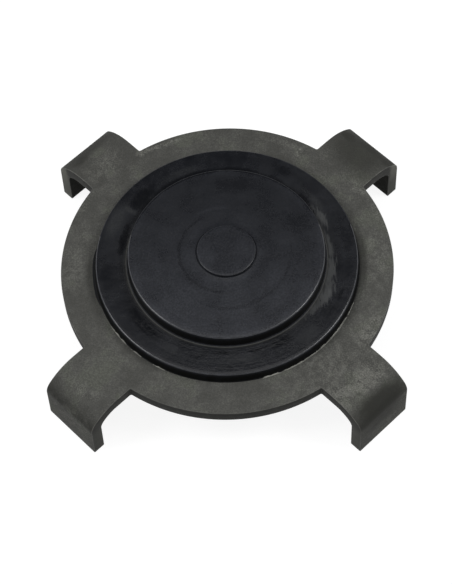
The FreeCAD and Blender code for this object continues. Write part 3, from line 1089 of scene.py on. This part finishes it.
def wall_shade_skin(scene):
    """Dull near-black skin of the disc walls and of the edges that face away, a darker copy of the black
    skin as painted shade
    """
    sizes, colours = scene.pad_sizes, scene.pad_colours
    skin = Skin("disc_wall_shade_skin")
    # Painted shade: the walls are a darker copy of the black skin, mottled with it
    paint = skin.tint(opaque(colours.wall_shade), skin.ease(skin.wisp, 0.45, 0.65) * 0.4, colours.black)
    # Painted light: both walls are paler just below their rounded top edges, unevenly
    lower, upper = sizes.lower_level / MM, sizes.upper_level / MM
    upper_wall_light = skin.ease(skin.z, lower - 2.0, lower - 0.4) * skin.ease(skin.z, lower + 0.4, lower + 0.2)
    upper_wall_light = skin.largest(upper_wall_light, skin.ease(skin.z, upper - 2.0, upper - 0.4))
    paint = skin.tint(paint, upper_wall_light * (skin.wisp * 0.6 + 0.1), colours.film_and_sheen)
    return skin.close(paint, skin.grain * 0.2 + 0.45, 0.12)


def flash_skin(scene):
    """Pale dry skin of the flash"""
    colours = scene.pad_colours
    skin = Skin("flash_rubber_skin")
    paint = skin.tint(opaque(colours.flash), skin.ease(skin.wisp, 0.4, 0.7) * 0.7, colours.grey)
    return skin.close(paint, 0.6, 0.4)


# The studio


# The floor's radius and sides, and the radius, steps and straight height of the backdrop's curve
FLOOR_RADIUS, FLOOR_SIDES = 2.4, 96
BACKDROP_BEND, BACKDROP_STEPS, BACKDROP_HEIGHT = 0.6, 8, 1.2
# Each lamp's name, direction and height in degrees, distance and size in metres, and power in watts
LAMPS = (
    ("lamp_over", 90.0, 88.0, 1.3, 1.1, 4.6),
    ("lamp_left", 184.0, 48.0, 1.1, 0.45, 5.3),
    ("lamp_right", 356.0, 48.0, 1.1, 0.45, 5.3),
)
WHITE = (1.0, 1.0, 1.0, 1.0)


def camera_turn(studio):
    """The camera's turn: down at the pad, panned so that the pad lands at its pixel, then rolled"""
    focal = studio.lens / SENSOR * PHOTO_HEIGHT
    pan = math.atan2(studio.pad_x - PHOTO_WIDTH / 2, focal)
    tilt = math.atan2(studio.pad_y - PHOTO_HEIGHT / 2, focal)
    return (Matrix.Rotation(-VIEW_TURN, 4, "Z")
            @ Matrix.Rotation(math.pi / 2 - studio.elevation, 4, "X")
            @ Matrix.Rotation(pan, 4, "Y")
            @ Matrix.Rotation(tilt, 4, "X")
            @ Matrix.Rotation(-studio.roll, 4, "Z"))


def white_to_camera(colour_value, glow, name):
    """A pale matte surface that the camera and mirrors see mostly as plain white"""
    finish = Finish(name)
    rays = finish.node("ShaderNodeLightPath", {}, {}, "Is Camera Ray")
    outputs = rays.socket.node.outputs
    seen = rays + Signal(finish, outputs["Is Glossy Ray"]) + Signal(finish, outputs["Is Transmission Ray"])
    matte = finish.node("ShaderNodeBsdfDiffuse", {}, {"Color": colour_value})
    white = finish.node("ShaderNodeEmission", {}, {"Color": WHITE, "Strength": seen * glow})
    both = finish.node("ShaderNodeAddShader", {}, {0: matte, 1: white})
    finish.node("ShaderNodeOutputMaterial", {}, {"Surface": both})
    return finish.material


def add_softbox(name, azimuth, elevation, distance, size, power):
    """A square lamp that faces the pad, placed by its direction as the photograph's view sees it"""
    start_alone()
    bpy.ops.object.light_add(type="AREA")
    lamp = bpy.context.object
    lamp.name = name
    lamp.data.shape = "SQUARE"
    lamp.data.size = size
    lamp.data.energy = power
    turn = math.radians(azimuth) - VIEW_TURN
    height = math.radians(elevation)
    out = math.cos(height)
    place = Vector((math.cos(turn) * out, math.sin(turn) * out, math.sin(height))) * distance
    lamp.location = place
    lamp.rotation_euler = (-place).to_track_quat("-Z", "Y").to_euler()


class SCENE_OT_lift_pad_studio(bpy.types.Operator):
    """Sets up the floor, backdrop, lamps, world and camera"""

    bl_idname = "scene.lift_pad_studio"
    bl_label = "Studio"

    def execute(self, context):
        studio = context.scene.studio
        self.lay_floor(studio)
        self.place_camera(context, studio)
        for lamp in LAMPS:
            add_softbox(*lamp)
        self.light_world(context, studio)
        context.scene.view_settings.view_transform = "Standard"
        return {"FINISHED"}

    def lay_floor(self, studio):
        """A round floor whose edge curves up into a backdrop"""
        rings = [(FLOOR_RADIUS, FLOOR_LEVEL)]
        for turn in evenly(0.0, math.pi / 2, BACKDROP_STEPS):
            rings.append((FLOOR_RADIUS + BACKDROP_BEND * math.sin(turn),
                          FLOOR_LEVEL + BACKDROP_BEND * (1 - math.cos(turn))))
        last_radius, last_level = rings[-1]
        rings.append((last_radius, last_level + BACKDROP_HEIGHT))
        start_alone()
        bpy.ops.mesh.primitive_circle_add(
            vertices=FLOOR_SIDES, radius=FLOOR_RADIUS, fill_type="NGON", location=(0.0, 0.0, FLOOR_LEVEL))
        floor = name_piece("studio_floor")
        bpy.ops.object.mode_set(mode="EDIT")
        pick(floor, "EDGE", lambda edge: edge.is_boundary)
        raise_rings(rings, bpy.ops.mesh.extrude_edges_move)
        bpy.ops.object.mode_set(mode="OBJECT")
        bpy.ops.object.transform_apply(location=True, rotation=True, scale=True)
        bpy.ops.object.shade_smooth_by_angle(angle=SMOOTH_BELOW)
        floor.data.materials.append(
            white_to_camera(opaque(studio.floor), studio.floor_glow, "studio_white"))

    def place_camera(self, context, studio):
        start_alone()
        bpy.ops.object.camera_add()
        camera = context.object
        camera.name = "photo_camera"
        camera.data.lens = studio.lens
        camera.data.sensor_width = SENSOR
        turned = Matrix.Rotation(-VIEW_TURN, 4, "Z")
        back = Vector((0.0, -math.cos(studio.elevation), math.sin(studio.elevation)))
        place = turned @ (back * studio.camera_distance)
        camera.matrix_world = Matrix.Translation(place) @ camera_turn(studio)
        context.scene.camera = camera

    def light_world(self, context, studio):
        world = bpy.data.worlds.new("studio_world")
        world.use_nodes = True
        background = world.node_tree.nodes["Background"]
        background.inputs["Color"].default_value = WHITE
        background.inputs["Strength"].default_value = studio.sky
        context.scene.world = world


class VIEW3D_PT_lift_pad(bpy.types.Panel):
    """Lists the sizes, colours and steps of the pad"""

    bl_label = "Lift pad"
    bl_idname = "VIEW3D_PT_lift_pad"
    bl_space_type = "VIEW_3D"
    bl_region_type = "UI"
    bl_category = "Lift pad"

    def draw(self, context):
        layout = self.layout
        for group in (context.scene.pad_sizes, context.scene.pad_colours, context.scene.studio):
            box = layout.box()
            for name in group.__annotations__:
                box.prop(group, name)
        for operator in OPERATORS:
            layout.operator(operator.bl_idname)


GROUPS = {"pad_sizes": PadSizes, "pad_colours": PadColours, "studio": StudioSettings}
OPERATORS = (MESH_OT_lift_pad_body, MESH_OT_lift_pad_flash, SCENE_OT_lift_pad_studio)
CLASSES = tuple(GROUPS.values()) + OPERATORS + (VIEW3D_PT_lift_pad,)


def register():
    for made in CLASSES:
        bpy.utils.register_class(made)
    for name, group in GROUPS.items():
        setattr(bpy.types.Scene, name, bpy.props.PointerProperty(type=group))


def unregister():
    for name in GROUPS:
        delattr(bpy.types.Scene, name)
    for made in reversed(CLASSES):
        bpy.utils.unregister_class(made)


def main():
    register()
    bpy.ops.mesh.lift_pad_body()
    bpy.ops.mesh.lift_pad_flash()
    bpy.ops.scene.lift_pad_studio()


if __name__ == "__main__":
    main()
